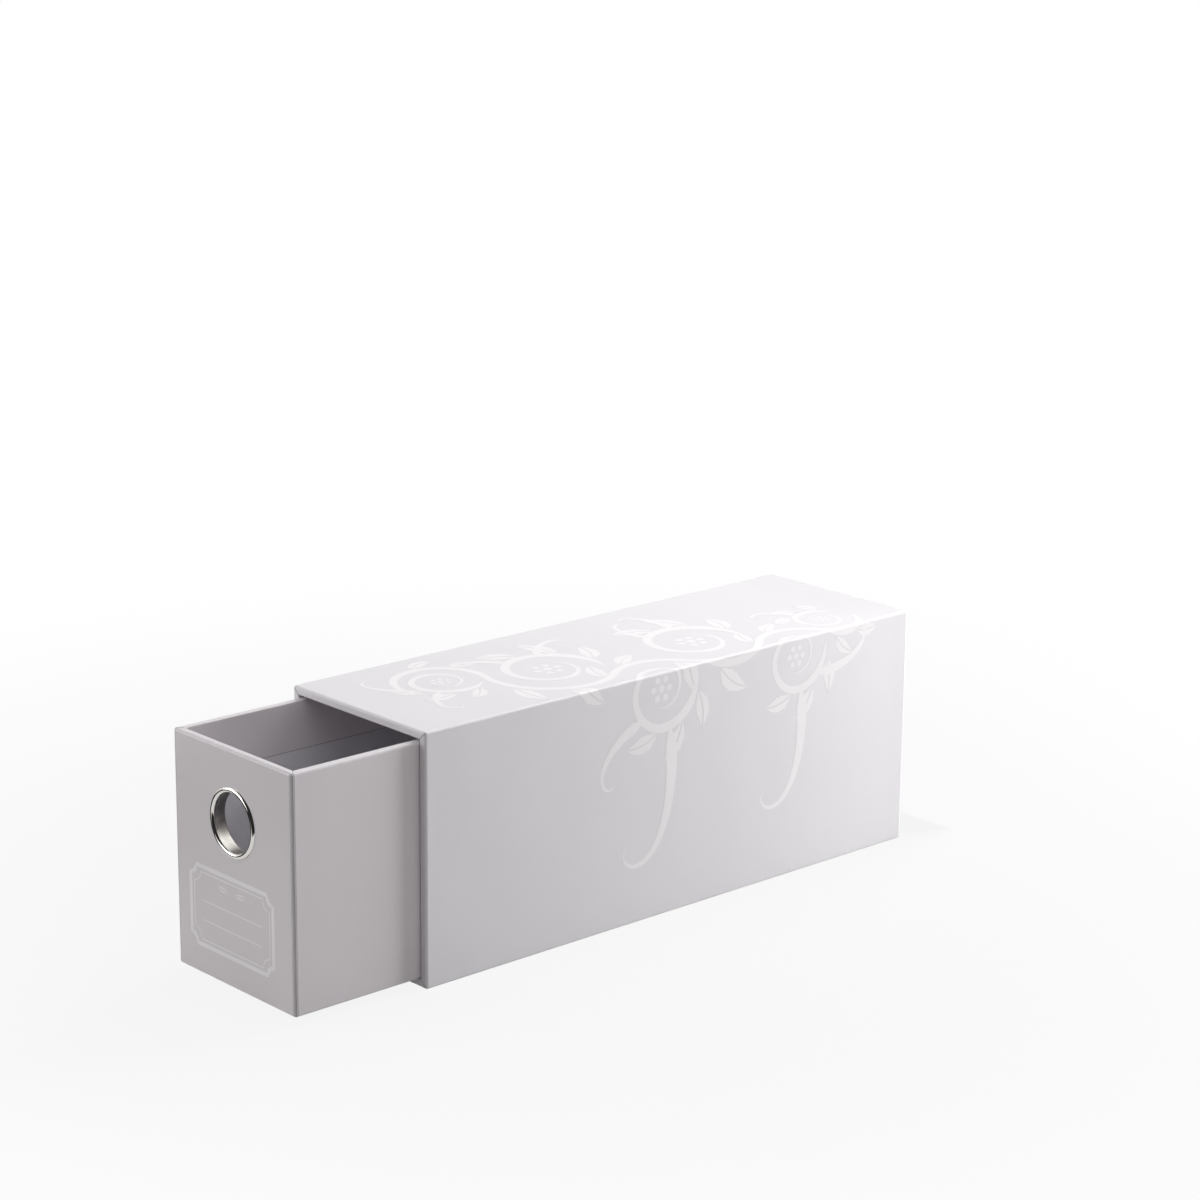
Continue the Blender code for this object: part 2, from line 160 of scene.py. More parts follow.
# %% A finish that adds any node
class Finish:
    """A material whose nodes are added from Python expressions."""

    def __init__(self, name, colour, roughness, metallic=0.0):
        self.material = bpy.data.materials.new(name)
        self.material.use_nodes = True
        self.tree = self.material.node_tree
        self.shader = self.tree.nodes["Principled BSDF"]
        self.feed(self.shader, {"Base Color": (*colour, 1), "Roughness": roughness, "Metallic": metallic})
        self.material.diffuse_color = (*colour, 1)

    def feed(self, node, sockets):
        """Links a value to a socket, or types a number or colour into it."""
        for name, value in sockets.items():
            if isinstance(value, Value):
                self.tree.links.new(value.socket, node.inputs[name])
            else:
                node.inputs[name].default_value = value

    def node(self, kind, settings, sockets, output=0):
        """Adds any node: its settings come first, then what goes into its sockets."""
        made = self.tree.nodes.new(kind)
        for name, setting in settings.items():
            setattr(made, name, setting)
        self.feed(made, sockets)
        return Value(self, made.outputs[output])

    def place(self):
        """The point being shaded, in metres, carried along by its own piece."""
        return self.node("ShaderNodeTexCoord", {}, {}, "Object")

    def parts(self, vector):
        split = self.node("ShaderNodeSeparateXYZ", {}, {0: vector}).socket.node
        return [Value(self, socket) for socket in split.outputs]

    def noise(self, place, scale, detail=2.0, roughness=0.5):
        """Cloudy noise; scale is how many clouds there are to a metre."""
        sockets = {"Vector": place, "Scale": scale, "Detail": detail, "Roughness": roughness}
        return self.node("ShaderNodeTexNoise", {}, sockets)

    def fibres(self, place, scales, detail, roughness=0.5):
        """Noise with a scale of its own along each axis."""
        place = self.node("ShaderNodeVectorMath", {"operation": "MULTIPLY"}, {0: place, 1: scales})
        return self.noise(place, 1, detail, roughness)

    def mix(self, share, first, second):
        """A colour between two others, each a value or three numbers, for Mix's sockets 6 and 7."""
        first, second = (colour if isinstance(colour, Value) else (*colour, 1) for colour in (first, second))
        return self.node("ShaderNodeMix", {"data_type": "RGBA"}, {0: share, 6: first, 7: second}, 2)

    def dress(self, colour, roughness, height):
        """What changes over the surface: its colour, its roughness and its relief in millimetres."""
        bump = self.node("ShaderNodeBump", {}, {"Height": height, "Distance": MM})
        self.feed(self.shader, {"Base Color": colour, "Roughness": roughness, "Normal": bump})
        return self.material


print("a finish knows:", [name for name in vars(Finish) if name[0] != "_"])

# %% [markdown]
# ## Laminated wrap
# The outside is printed paper under a satin film. Seen close, the film follows the paper's fibres in
# a fine orange peel, the sheet waves a little where the glue took up, and the folds are rubbed: there
# the film is duller and a touch lighter. A point is near a fold when two of its three distances to the
# box's faces are small, so the mask is the middle one of the three distances.


# %% Distances to the faces and to the nearest fold
MITRE_INK = (0.06 * MM, 0.24 * MM)
MITRE_FADE = (0.5 * MM, 1.3 * MM)


def face_distances(finish, place, centre, half):
    """How far a point is from a box's nearer face along each axis, in metres."""
    return [half[axis] - (part - centre[axis]).size() for axis, part in enumerate(finish.parts(place))]


def fold_distance(x, y, z):
    """The middle one of three distances."""
    return x.least(y).most(x.most(y).least(z))


def mitre_line(first, second, behind_rim):
    """1 on the slanted seam where two flaps meet in a corner of the rim."""
    seam = 1 - (first - second).size().step(*MITRE_INK)
    return seam * (1 - behind_rim.step(*MITRE_FADE)) * (1 - first.step(WALL, WALL + SEAM))


print(f"a mitre's dark line is {2 * MITRE_INK[0] / MM:.2f} to {2 * MITRE_INK[1] / MM:.2f} mm wide")

# %% [markdown]
# The drawer's two front corners are flattened folds, darkened as painted shade, most of all in two
# lines beside each corner as painted shadow in the creases. The painted shade reaches farther on the
# side than on the front. The share runs from 0 at the corner to 1 where the painted shade ends.

# %% Painted shade on the flattened front folds
FOLD_SHADE_FRONT = 0.9 * MM
FOLD_SHADE_SIDE = 1.7 * MM
FOLD_SHADE_FADE = (0.88, 0.98)
FOLD_SHADE_DARK = 0.42
CREASE_SHADE_SHARE = 0.86
CREASE_SHADE_SPREAD = (0.04, 0.14)
CREASE_SHADE_DARK = 0.45


def painted_fold_shade(x, y):
    """How much painted shade the fold gets, from the distance to the drawer's side and the place along the
    box.
    """
    share = (x * (1 / FOLD_SHADE_FRONT)).most((y - FRONT) * (1 / FOLD_SHADE_SIDE))
    line = 1 - (share - CREASE_SHADE_SHARE).size().step(*CREASE_SHADE_SPREAD)
    return (1 - share.step(*FOLD_SHADE_FADE)) * FOLD_SHADE_DARK + line * CREASE_SHADE_DARK


print(f"painted fold shade: {FOLD_SHADE_FRONT / MM:.1f} mm on the front, {FOLD_SHADE_SIDE / MM:.1f} mm on the side")

# %% [markdown]
# The wrap is near white with a faint violet tint. Its colour changes by a percent or so over the
# sheet, which keeps large flat faces from looking like plastic. The seams of the mitred corners are
# dark. The drawer's sheet is the same paper, a touch pinker and painted darker as painted shade.

# %% Satin laminated paper, for the sleeve and for the drawer
SLEEVE_WHITE = Vector((0.797, 0.775, 0.802))
# the sleeve's paper, a touch pinker and painted darker: painted shade on the drawer
SHADED_DRAWER_WHITE = Vector((0.757, 0.715, 0.738))
RUBBED_REACH = (0.2 * MM, 1.6 * MM)
LONG_WAVES = (44, 44, 5)


def laminated_wrap(name, centre, half, white, drawer=False):
    finish = Finish(name, white, 0.4)
    place = finish.place()
    x, y, z = face_distances(finish, place, centre, half)
    near_fold = 1 - fold_distance(x, y, z).step(*RUBBED_REACH)
    rubbed = near_fold * finish.noise(place, scale=260, detail=4).step(0.42, 0.66)
    if drawer:
        # the drawer's front folds get painted shade on top of the mitres' dark seams
        dark = mitre_line(x, y, z).most(painted_fold_shade(x, finish.parts(place)[1]))
    else:
        dark = mitre_line(x, z, y)
    cloud = finish.noise(place, scale=28, detail=3)
    fleck = finish.noise(place, scale=2600)
    sheet = finish.mix(cloud, white * 0.985, white * 1.015)
    sheet = finish.mix(fleck.step(0.52, 0.80) * 0.5, sheet, white * 0.965)
    sheet = finish.mix(rubbed * 0.6, sheet, SLEEVE_WHITE * 1.06)
    # dark seams of the mitres, and on the drawer the painted shade of its front folds
    sheet = finish.mix(dark, sheet, SLEEVE_WHITE * 0.42)
    peel = finish.noise(place, scale=900, detail=3) * 0.010
    wave = finish.noise(place, scale=26, detail=1) * 0.16
    drawn = finish.fibres(place, LONG_WAVES, detail=1) * 0.20
    gloss = 0.36 + cloud * 0.08 + rubbed * 0.16
    return finish.dress(sheet, gloss, peel + wave + drawn - rubbed * 0.02)


SLEEVE_WRAP = laminated_wrap("laminated_wrap_sleeve", SLEEVE_CENTRE, SLEEVE_HALF, SLEEVE_WHITE)
DRAWER_WRAP = laminated_wrap("laminated_wrap_drawer", TRAY_CENTRE, TRAY_HALF, SHADED_DRAWER_WHITE, drawer=True)
print("laminated papers:", SLEEVE_WRAP.name, DRAWER_WRAP.name)

# %% [markdown]
# ## Varnish
# The ornament and the label are printed in a lighter white and then spot varnished: the film stands a
# few hundredths of a millimetre proud and is smoother than the sheet round it.


# %% Spot varnish for the printed ornament
DULL_VARNISH = (0.903, 0.875, 0.893)
BRIGHT_VARNISH = (0.935, 0.907, 0.923)


def spot_varnish():
    finish = Finish("spot_varnish", (0.91, 0.88, 0.90), 0.32)
    place = finish.place()
    cloud = finish.noise(place, scale=60, detail=3)
    white = finish.mix(cloud, DULL_VARNISH, BRIGHT_VARNISH)
    wave = finish.noise(place, scale=26, detail=1) * 0.16
    return finish.dress(white, 0.28 + cloud * 0.08, wave + finish.noise(place, scale=700) * 0.006)


VARNISH = spot_varnish()
print("varnish:", VARNISH.name)

# %% [markdown]
# ## Lining paper
# The inside is covered with uncoated paper. Its look comes from fibres: short, thin, and laid in
# every direction, so two stretched noises cross each other at a slant.


# %% Uncoated lining paper
SLANTED_FIBRES = (2400, 500, 900)
CROSSING_FIBRES = (500, 2400, 1500)
DARK_FIBRE = (0.750, 0.730, 0.775)
PALE_FIBRE = (0.790, 0.770, 0.812)
WARM_FIBRE = (0.770, 0.742, 0.785)


def lining_paper():
    finish = Finish("lining_paper", (0.77, 0.75, 0.79), 0.62)
    place = finish.place()
    slanted = finish.fibres(place, SLANTED_FIBRES, detail=3)
    crossing = finish.fibres(place, CROSSING_FIBRES, detail=3)
    fibre = slanted * 0.5 + crossing * 0.5
    cloud = finish.noise(place, scale=45, detail=3)
    sheet = finish.mix(fibre.step(0.35, 0.65), DARK_FIBRE, PALE_FIBRE)
    sheet = finish.mix(cloud * 0.4, sheet, WARM_FIBRE)
    return finish.dress(sheet, 0.56 + cloud * 0.12, fibre * 0.05 + cloud * 0.08)


LINING = lining_paper()
print("lining:", LINING.name)

# %% [markdown]
# ## Grey board
# Grey board is pressed from waste paper. It shows at a cut edge only, as a warm grey felt with dark
# and light flecks of old print, and its cut edges are layered along the sheet.


# %% Raw grey board
PRESSED_FELT = (1500, 900, 1500)
DARK_FELT = (0.235, 0.225, 0.205)
PALE_FELT = (0.365, 0.350, 0.330)
DARK_PRINT = (0.120, 0.115, 0.120)
PALE_PRINT = (0.520, 0.500, 0.470)


def grey_board():
    finish = Finish("greyboard", (0.30, 0.29, 0.27), 0.9)
    place = finish.place()
    felt = finish.fibres(place, PRESSED_FELT, detail=5, roughness=0.65)
    fleck = finish.noise(place, scale=1100, detail=1)
    board = finish.mix(felt, DARK_FELT, PALE_FELT)
    board = finish.mix(fleck.step(0.66, 0.72), board, DARK_PRINT)
    board = finish.mix((1 - fleck).step(0.68, 0.74), board, PALE_PRINT)
    return finish.dress(board, 0.82 + felt * 0.14, felt * 0.12)


GREY_BOARD = grey_board()
print("board:", GREY_BOARD.name)

# %% [markdown]
# ## Stay tape
# Gummed brown tape holds the boards' corners while the box is wrapped. It is kraft paper: long brown
# fibres that run with the tape, and a slight crinkle where the wetted gum has shrunk.


# %% Gummed kraft tape
KRAFT_FIBRES = (2600, 260, 2600)
DARK_KRAFT = (0.40, 0.285, 0.175)
PALE_KRAFT = (0.60, 0.46, 0.315)
CRINKLED_KRAFT = (0.34, 0.24, 0.15)


def stay_tape():
    finish = Finish("stay_tape", (0.50, 0.37, 0.24), 0.75)
    place = finish.place()
    fibre = finish.fibres(place, KRAFT_FIBRES, detail=4)
    crinkle = finish.noise(place, scale=240)
    kraft = finish.mix(fibre, DARK_KRAFT, PALE_KRAFT)
    kraft = finish.mix(crinkle.step(0.55, 0.8) * 0.4, kraft, CRINKLED_KRAFT)
    return finish.dress(kraft, 0.66 + crinkle * 0.16, fibre * 0.03 + crinkle * 0.08)


TAPE = stay_tape()
print("tape:", TAPE.name)

# %% [markdown]
# ## Polished nickel
# The finger ring is pressed steel with a bright nickel plate. Polishing turns the part on a lathe,
# so its fine scratches run round the hole. The noise is therefore read in turned coordinates: the
# distance from the axis and the depth change fast, the angle changes slowly. The bore is only brushed,
# and rougher than the flange, and its plate is painted darker as painted shade inside the barrel.


# %% Nickel plate, polished in the round
BORE_RADIUS = 12.3 * MM
BORE_EDGE = (BORE_RADIUS + 0.05 * MM, BORE_RADIUS + 0.35 * MM)
TURNED_LINES = 6000
DULL_PLATE = (0.640, 0.625, 0.595)
BRIGHT_PLATE = (0.700, 0.685, 0.660)
# plate painted darker in the bore: painted shade inside the barrel
SHADED_BORE_GREY = (0.340, 0.325, 0.300)


def polished_nickel():
    finish = Finish("polished_nickel", (0.80, 0.79, 0.77), 0.1, 1.0)
    x, y, z = finish.parts(finish.place())
    across = x - RING_CENTRE.x
    up = z - RING_CENTRE.z
    radius = (across * across + up * up).root()
    angle = across.maths("ARCTAN2", up, across)
    lines = {0: radius * TURNED_LINES, 1: angle * 2, 2: y * TURNED_LINES}
    scratch = finish.noise(finish.node("ShaderNodeCombineXYZ", {}, lines), scale=1, detail=3)
    smear = finish.noise(finish.place(), scale=150)
    bore = 1 - radius.step(*BORE_EDGE)
    plate = finish.mix(smear, DULL_PLATE, BRIGHT_PLATE)
    # painted shade in the bore
    plate = finish.mix(bore * 0.9, plate, SHADED_BORE_GREY)
    gloss = 0.06 + scratch * 0.06 + smear * 0.04 + bore * 0.24
    return finish.dress(plate, gloss, scratch * (0.002 + bore * 0.004))


NICKEL = polished_nickel()
print("metal:", NICKEL.name)

# %% [markdown]
# ## Dress the packed pieces
# Each packed piece names a slot in its record. Boards, tape, linings and the washer keep their own
# shape, and only take the finish of their slot.

# %% Give every packed piece its finish
FINISHES = {
    "lining_paper": LINING,
    "greyboard": GREY_BOARD,
    "stay_tape": TAPE,
    "polished_nickel": NICKEL,
}

for part in frame["record"]["subparts"]:
    node = frame["nodes"][part["node"]]
    wrap = DRAWER_WRAP if node["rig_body"] == "drawer" else SLEEVE_WRAP
    node.data.materials.clear()
    node.data.materials.append(FINISHES.get(part["material_slot"], wrap))
print("dressed:", len(frame["nodes"]))

# %% [markdown]
# ## A sheet with two skins
# Wrapping paper is one sheet folded round edges. It is drawn as rings of points, one ring for each
# step along the sheet, and with two skins: the printed face and the glued face. Where a cell of the
# sheet is left out, a thin wall joins the two skins, so that the piece stays a closed solid.


# %% Build a sheet from its two skins
def thick_sheet(face, glue, kept=lambda row, column: True, floor=False):
    """A closed sheet from two skins of rings; kept picks its cells, floor closes its first ring."""
    made = bmesh.new()
    skins = [[[made.verts.new(point) for point in row] for row in skin] for skin in (face, glue)]
    rows, columns = len(face) - 1, len(face[0])

    def there(row, column):
        return 0 <= row < rows and kept(row, column % columns)

    for row in range(rows):
        for column in range(columns):
            if not there(row, column):
                continue
            spots = [(row, column), (row, column + 1), (row + 1, column + 1), (row + 1, column)]
            outside, inside = ([skin[r][c % columns] for r, c in spots] for skin in skins)
            made.faces.new(outside)
            made.faces.new(inside[::-1])
            beyond = [(row - 1, column), (row, column + 1), (row + 1, column), (row, column - 1)]
            for side, cell in enumerate(beyond):
                if not there(*cell) and not (floor and cell[0] < 0):
                    turn = (side + 1) % 4
                    made.faces.new((outside[turn], outside[side], inside[side], inside[turn]))
    if floor:
        made.faces.new(skins[0][0][::-1])
        made.faces.new(skins[1][0])
    return made


print(f"the two skins lie {PAPER / MM:.2f} mm apart")

# %% [markdown]
# A mesh becomes a piece of the box in one place: normals are made to face out, faces are shaded
# smooth except at creases, and the piece rides on its body. The Weighted Normal modifier lets the
# large flat faces win over the narrow fold strips beside them, so that flats stay flat to the light.


# %% Turn a mesh into a piece of the box
SHARP_FROM = math.radians(40)


def mesh_from(name, made):
    """A mesh from mesh code's working copy, which is then let go."""
    mesh = bpy.data.meshes.new(name)
    made.to_mesh(mesh)
    made.free()
    return mesh


def in_scene(name, data):
    """A new object in the scene."""
    thing = bpy.data.objects.new(name, data)
    bpy.context.scene.collection.objects.link(thing)
    return thing


def add_piece(name, made, finish, body):
    """A piece from a mesh, with its finish, riding on a body."""
    spare = [v for v in made.verts if not v.link_faces]
    bmesh.ops.delete(made, geom=spare, context="VERTS")
    bmesh.ops.recalc_face_normals(made, faces=made.faces[:])
    mesh = mesh_from(name, made)
    mesh.shade_smooth()
    mesh.set_sharp_from_angle(angle=SHARP_FROM)
    mesh.materials.append(finish)
    piece = in_scene(name, mesh)
    flats = piece.modifiers.new("Flat faces first", "WEIGHTED_NORMAL")
    flats.keep_sharp = True
    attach(piece, body)
    print(f"{name}: {len(mesh.vertices)} points, {len(mesh.polygons)} faces")
    return piece


print(f"edges are sharp from {math.degrees(SHARP_FROM):.0f} degrees")

# %% [markdown]
# ## Rings with folded corners
# A ring is a rectangle whose corners are folded. A corner is a quarter of an ellipse, given by how
# far it reaches along the side before it and along the side after it. A crease can be pressed in near
# each end of the fold, as where board meets board under the paper.

# %% One ring of a folded sheet
CORNER_STEPS = 16
CREASE_AT = 1 / 8
CREASE_HALF_WIDTH = 1 / 16
CORNER_SIGNS = ((1, 1), (-1, 1), (-1, -1), (1, -1))


def corner_points(before, after, groove):
    """Offsets from a sharp corner, back along the side before it and on along the side after it."""
    points = []
    for step in range(CORNER_STEPS + 1):
        share = step / CORNER_STEPS
        angle = math.pi / 2 * share
        dip = groove * max(0.0, 1 - abs(min(share, 1 - share) - CREASE_AT) / CREASE_HALF_WIDTH)
        points.append((
            before * (1 - math.sin(angle)) + dip * math.sin(angle),
            after * (1 - math.cos(angle)) + dip * math.cos(angle),
            abs(angle - math.pi / 4) * (before + after) / 2,
        ))
    return points


def folded_ring(half_a, half_b, corners, stops):
    """A rectangle anticlockwise from its right side's upper end, as (a, b, distance to the diagonal).

    Stops are extra points, the same distances to both sides of the middle, on the two sides along a.
    """
    outline = []
    for turn, (side_a, side_b) in enumerate(CORNER_SIGNS):
        for before, after, off_diagonal in corner_points(*corners[turn]):
            along_a, along_b = (before, after) if turn % 2 else (after, before)
            outline.append((side_a * (half_a - along_a), side_b * (half_b - along_b), off_diagonal))
        if turn % 2 == 0:
            outline += [(-side_a * stop, side_b * half_b, half_a) for stop in stops]
    return outline


print("points in a corner:", CORNER_STEPS + 1)

# %% [markdown]
# ## The section of a hem
# Going along the sheet, its section is a list of (inset, along) points: inset is the depth behind the
# outer face and along the distance behind the folded rim. A hem folds over the rim in two quarter
# turns, an outer one, drawn out along the face, and a tighter inner one.

# %% Section points of a fold and of a hem
EDGE_ROUND = 1.0 * MM
HEM_ROUND = 0.5 * MM
RIM_SOFTER = 0.3 * MM
FOLD_STEPS = 6


def fold(inset, along, radius, start, end, stretch=0.0):
    """Points of a quarter turn round a centre, with angles in quarter turns; stretch is added along."""
    points = []
    for step in range(FOLD_STEPS + 1):
        angle = math.pi / 2 * (start + (end - start) * step / FOLD_STEPS)
        points.append((inset + radius * math.cos(angle), along + (radius + stretch) * math.sin(angle)))
    return points


def hem(depth, turn_in):
    """From the outer face over the rim to the hem's edge, at a depth in the paper."""
    outer = fold(EDGE_ROUND, EDGE_ROUND + RIM_SOFTER, EDGE_ROUND - depth, 2, 3, RIM_SOFTER)
    inner = fold(WALL - HEM_ROUND, HEM_ROUND, HEM_ROUND - depth, 3, 4)
    return [*outer, *inner, (WALL - depth, turn_in)]


print("hem points:", len(hem(0, EDGE_ROUND)))

# %% [markdown]
# ## Mitred corners
# At each corner of a rim the paper is cut on the slant and its two flaps meet in a mitre. The cut
# shows as a thin dark line from the outer to the inner corner. It is pressed in as a narrow groove,
# by sinking the ring's points that lie near the corner's diagonal.

# %% How deep the mitre is at a point
CORNER_ROUND = 0.4 * MM
MITRE_HALF_WIDTH = 0.3 * MM


def mitre_depth(inset, off_diagonal, deepest):
    """How far a point sinks below the rim, from its inset and its distance to the diagonal."""
    if not 0 < inset < WALL:
        return 0.0
    rise = min(1.0, inset / (EDGE_ROUND / 2), (WALL - inset) / (HEM_ROUND / 2))
    return deepest * rise * max(0.0, 1 - off_diagonal / MITRE_HALF_WIDTH)


def corner_reach(plain, inset):
    """Reach of a folded corner at an inset: it shrinks with the outer fold's radius."""
    return max(plain - inset, CORNER_ROUND)


print(f"mitre at the middle of the rim: {mitre_depth(WALL / 2, 0, 0.3 * MM) / MM:.2f} mm")

# %% [markdown]
# ## The sleeve's skin
# The sleeve's printed sheet turns in at the mouth and over the edges at the back. It is drawn as rings
# that stand across the box, one for each point of its section. Stops are extra points in the bottom
# run, where a sheet's edge lies under the box; the top run has the same ones.

# %% The sleeve's printed skin
BACK_TURN_OVER = 15 * MM
MOUTH_MITRE = 0.40 * MM
TURN_IN = LINING_LOW.y - MOUTH - SEAM
BASE_EDGE = BASE_HIGH.x
BASE_END = BASE_HIGH.y - MOUTH
SLEEVE_BACK = WRAP_HIGH.y - MOUTH
STOPS = [-BASE_EDGE - SEAM, -BASE_EDGE, BASE_EDGE, BASE_EDGE + SEAM]


def sleeve_section(depth):
    """The sheet's section from its edge on the back, along the box and over the mouth."""
    edge = SLEEVE_BACK - EDGE_ROUND
    straight = [BASE_END + SEAM, BASE_END, 2 * edge / 3, edge / 3]
    return [
        (BACK_TURN_OVER, SLEEVE_BACK - depth),
        *fold(EDGE_ROUND, edge, EDGE_ROUND - depth, 1, 2),
        *((depth, along) for along in straight),
        *hem(depth, TURN_IN),
    ]


def sleeve_skin(depth):
    """Rings of the sleeve's sheet, standing across Y."""
    skin = []
    for inset, along in sleeve_section(depth):
        reach = corner_reach(EDGE_ROUND, inset)
        flat = SLEEVE_HALF.x - inset - reach
        share = min(1.0, flat / (SLEEVE_HALF.x - WALL - EDGE_ROUND))
        stops = [stop * share for stop in STOPS]
        ring = folded_ring(SLEEVE_HALF.x - inset, SLEEVE_HALF.z - inset, [(reach, reach, 0)] * 4, stops)
        deepest = MOUTH_MITRE if along < WALL else 0
        skin.append([
            Vector((a, MOUTH + along + mitre_depth(inset, near, deepest), SLEEVE_CENTRE.z + b))
            for a, b, near in ring
        ])
    return skin


face, glue = sleeve_skin(0), sleeve_skin(PAPER)
print(f"the sleeve's skin: {len(face)} rings of {len(face[0])} points")

# %% [markdown]
# ## The sleeve's wrap and base sheet
# The wrap's long edges are turned under the bottom, and a second sheet covers the strip between them.
# Both are cut from the same rings: the wrap keeps the cells outside the strip, the base sheet those
# inside, and the gap between them is the seam that shows on the real box.


# %% Cut the wrap and the base sheet
def in_base_strip(skin, row, column, half, end):
    """Whether a cell lies in the strip under the sleeve that the base sheet covers."""
    corners = [skin[r][c % len(skin[0])] for r in (row, row + 1) for c in (column, column + 1)]
    middle = sum(corners, Vector()) / 4
    return abs(middle.x) < half and middle.y < MOUTH + end and middle.z < WALL + PAPER


wrap = thick_sheet(face, glue, lambda r, c: not in_base_strip(face, r, c, BASE_EDGE + SEAM, BASE_END + SEAM))
wrap = add_piece("sleeve_printed_wrap", wrap, SLEEVE_WRAP, "sleeve")
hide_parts("sleeve_wrap")
base = thick_sheet(face, glue, lambda r, c: in_base_strip(face, r, c, BASE_EDGE, BASE_END))
base = add_piece("sleeve_printed_base", base, SLEEVE_WRAP, "sleeve")
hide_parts("sleeve_base_sheet")

# %% [markdown]
# ## The drawer's wrap
# The drawer's sheet covers the underside and the four walls, and folds over the rim. Its two front
# corners are broader, flattened folds with a crease at each side, because the front board's ends are
# wrapped as one with the sides there.

# %% The drawer's printed skin
FRONT_FOLD_ACROSS = 1.7 * MM
FRONT_FOLD_ALONG = 0.9 * MM
FRONT_GROOVE = 0.16 * MM
RIM_MITRE = 0.40 * MM
RIM_TURN_IN = TRAY_HIGH.z - TRAY_LINING_HIGH.z - SEAM


def drawer_section(depth):
    """The sheet's section from the underside's edge, up the wall and over the rim."""
    bottom = 2 * TRAY_HALF.z
    straight = [2 * bottom / 3, bottom / 3]
    return [
        *fold(EDGE_ROUND, bottom - EDGE_ROUND, EDGE_ROUND - depth, 1, 2),
        *((depth, along) for along in straight),
        *hem(depth, RIM_TURN_IN),
    ]


def drawer_skin(depth):
    """Rings of the drawer's sheet, lying flat; along is the distance below the rim."""
    skin = []
    for inset, along in drawer_section(depth):
        back = corner_reach(EDGE_ROUND, inset)
        across, beside = corner_reach(FRONT_FOLD_ACROSS, inset), corner_reach(FRONT_FOLD_ALONG, inset)
        groove = FRONT_GROOVE * max(0.0, 1 - inset / EDGE_ROUND)
        corners = [(back, back, 0), (back, back, 0), (beside, across, groove), (across, beside, groove)]
        ring = folded_ring(TRAY_HALF.x - inset, TRAY_HALF.y - inset, corners, [])
        deepest = RIM_MITRE if along < WALL else 0
        skin.append([
            Vector((a, TRAY_CENTRE.y + b, TRAY_HIGH.z - along - mitre_depth(inset, near, deepest)))
            for a, b, near in ring
        ])
    return skin


tray = thick_sheet(drawer_skin(0), drawer_skin(PAPER), floor=True)
print("the drawer's skin:", len(tray.verts), "points")

# %% [markdown]
# The finger hole is cut through the paper before the eyelet is pressed in. An exact Boolean takes a
# round drill out of the sheet. Its result is read as a new mesh, and the drill is thrown away.

# %% Drill the finger hole
HOLE_RADIUS = 13.1 * MM
HOLE_STEPS = 96


def drilled(made):
    """The drawer's sheet less the finger hole in its front."""
    drill = bmesh.new()
    bmesh.ops.create_cone(
        drill, cap_ends=True, segments=HOLE_STEPS, radius1=HOLE_RADIUS, radius2=HOLE_RADIUS, depth=4 * WALL
    )
    stand = Matrix.Translation((RING_CENTRE.x, FRONT, RING_CENTRE.z)) @ Matrix.Rotation(math.pi / 2, 4, "X")
    bmesh.ops.transform(drill, matrix=stand, verts=drill.verts[:])
    solids = []
    for name, shape in (("sheet", made), ("drill", drill)):
        bmesh.ops.recalc_face_normals(shape, faces=shape.faces[:])
        solids.append(in_scene(name, mesh_from(name, shape)))
    hole = solids[0].modifiers.new("Hole", "BOOLEAN")
    hole.object = solids[1]
    hole.solver = "EXACT"
    cut = bmesh.new()
    cut.from_object(solids[0], bpy.context.evaluated_depsgraph_get())
    for solid in solids:
        bpy.data.objects.remove(solid)
    return cut


tray = add_piece("drawer_printed_wrap", drilled(tray), DRAWER_WRAP, "drawer")
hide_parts("drawer_wrap")

# %% [markdown]
# ## The finger ring
# The finger ring is an eyelet: in front a domed brim with a rounded lip, then a short barrel through
# the board, and an end that is rolled outwards over a washer. It is a turned shape, so its section is
# drawn once and spun.

# %% Turn the eyelet
METAL = 0.4 * MM
LIP_RADIUS = 12.5 * MM
CROWN = 0.85 * MM
SEAT = 0.05 * MM
ROLL_RADIUS = 0.9 * MM
TURN_STEPS = 128
CROWN_STEPS = 20
ROLL_STEPS = 12


def arc(radius, height, reach, start, end, steps):
    """Points of a section's arc as (radius, height), with angles in degrees from the outward side."""
    turns = [math.radians(start + (end - start) * step / steps) for step in range(steps + 1)]
    return [(radius + reach * math.cos(turn), height + reach * math.sin(turn)) for turn in turns]


def skin_of_eyelet(depth):
    """The section's outer skin, or at a depth its hidden one: domed brim, barrel and rolled end."""
    middle = (RING_HIGH.x + LIP_RADIUS) / 2
    half = RING_HIGH.x - middle
    dome = (half ** 2 + CROWN ** 2) / (2 * CROWN)
    edge = math.degrees(math.asin((dome - CROWN) / (dome - depth)))
    rolled = FRONT - RING_HIGH.y + ROLL_RADIUS
    return [
        *arc(middle, SEAT + CROWN - dome, dome - depth, edge, 180 - edge, CROWN_STEPS),
        *arc(BORE_RADIUS + ROLL_RADIUS, rolled, ROLL_RADIUS - depth, 180, 360, ROLL_STEPS),
    ]


def eyelet():
    """The eyelet's closed mesh; height runs out of the drawer's front."""
    made = bmesh.new()
    points = [
        made.verts.new((RING_CENTRE.x + radius, FRONT - height, RING_CENTRE.z))
        for radius, height in skin_of_eyelet(0) + skin_of_eyelet(METAL)[::-1]
    ]
    edges = [made.edges.new(pair) for pair in zip(points, points[1:] + points[:1])]
    turn = {"cent": RING_CENTRE, "axis": (0, 1, 0), "angle": 2 * math.pi, "steps": TURN_STEPS}
    bmesh.ops.spin(made, geom=points + edges, use_merge=True, **turn)
    return made


ring = add_piece("finger_ring_plated", eyelet(), NICKEL, "drawer")
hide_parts("finger_ring")

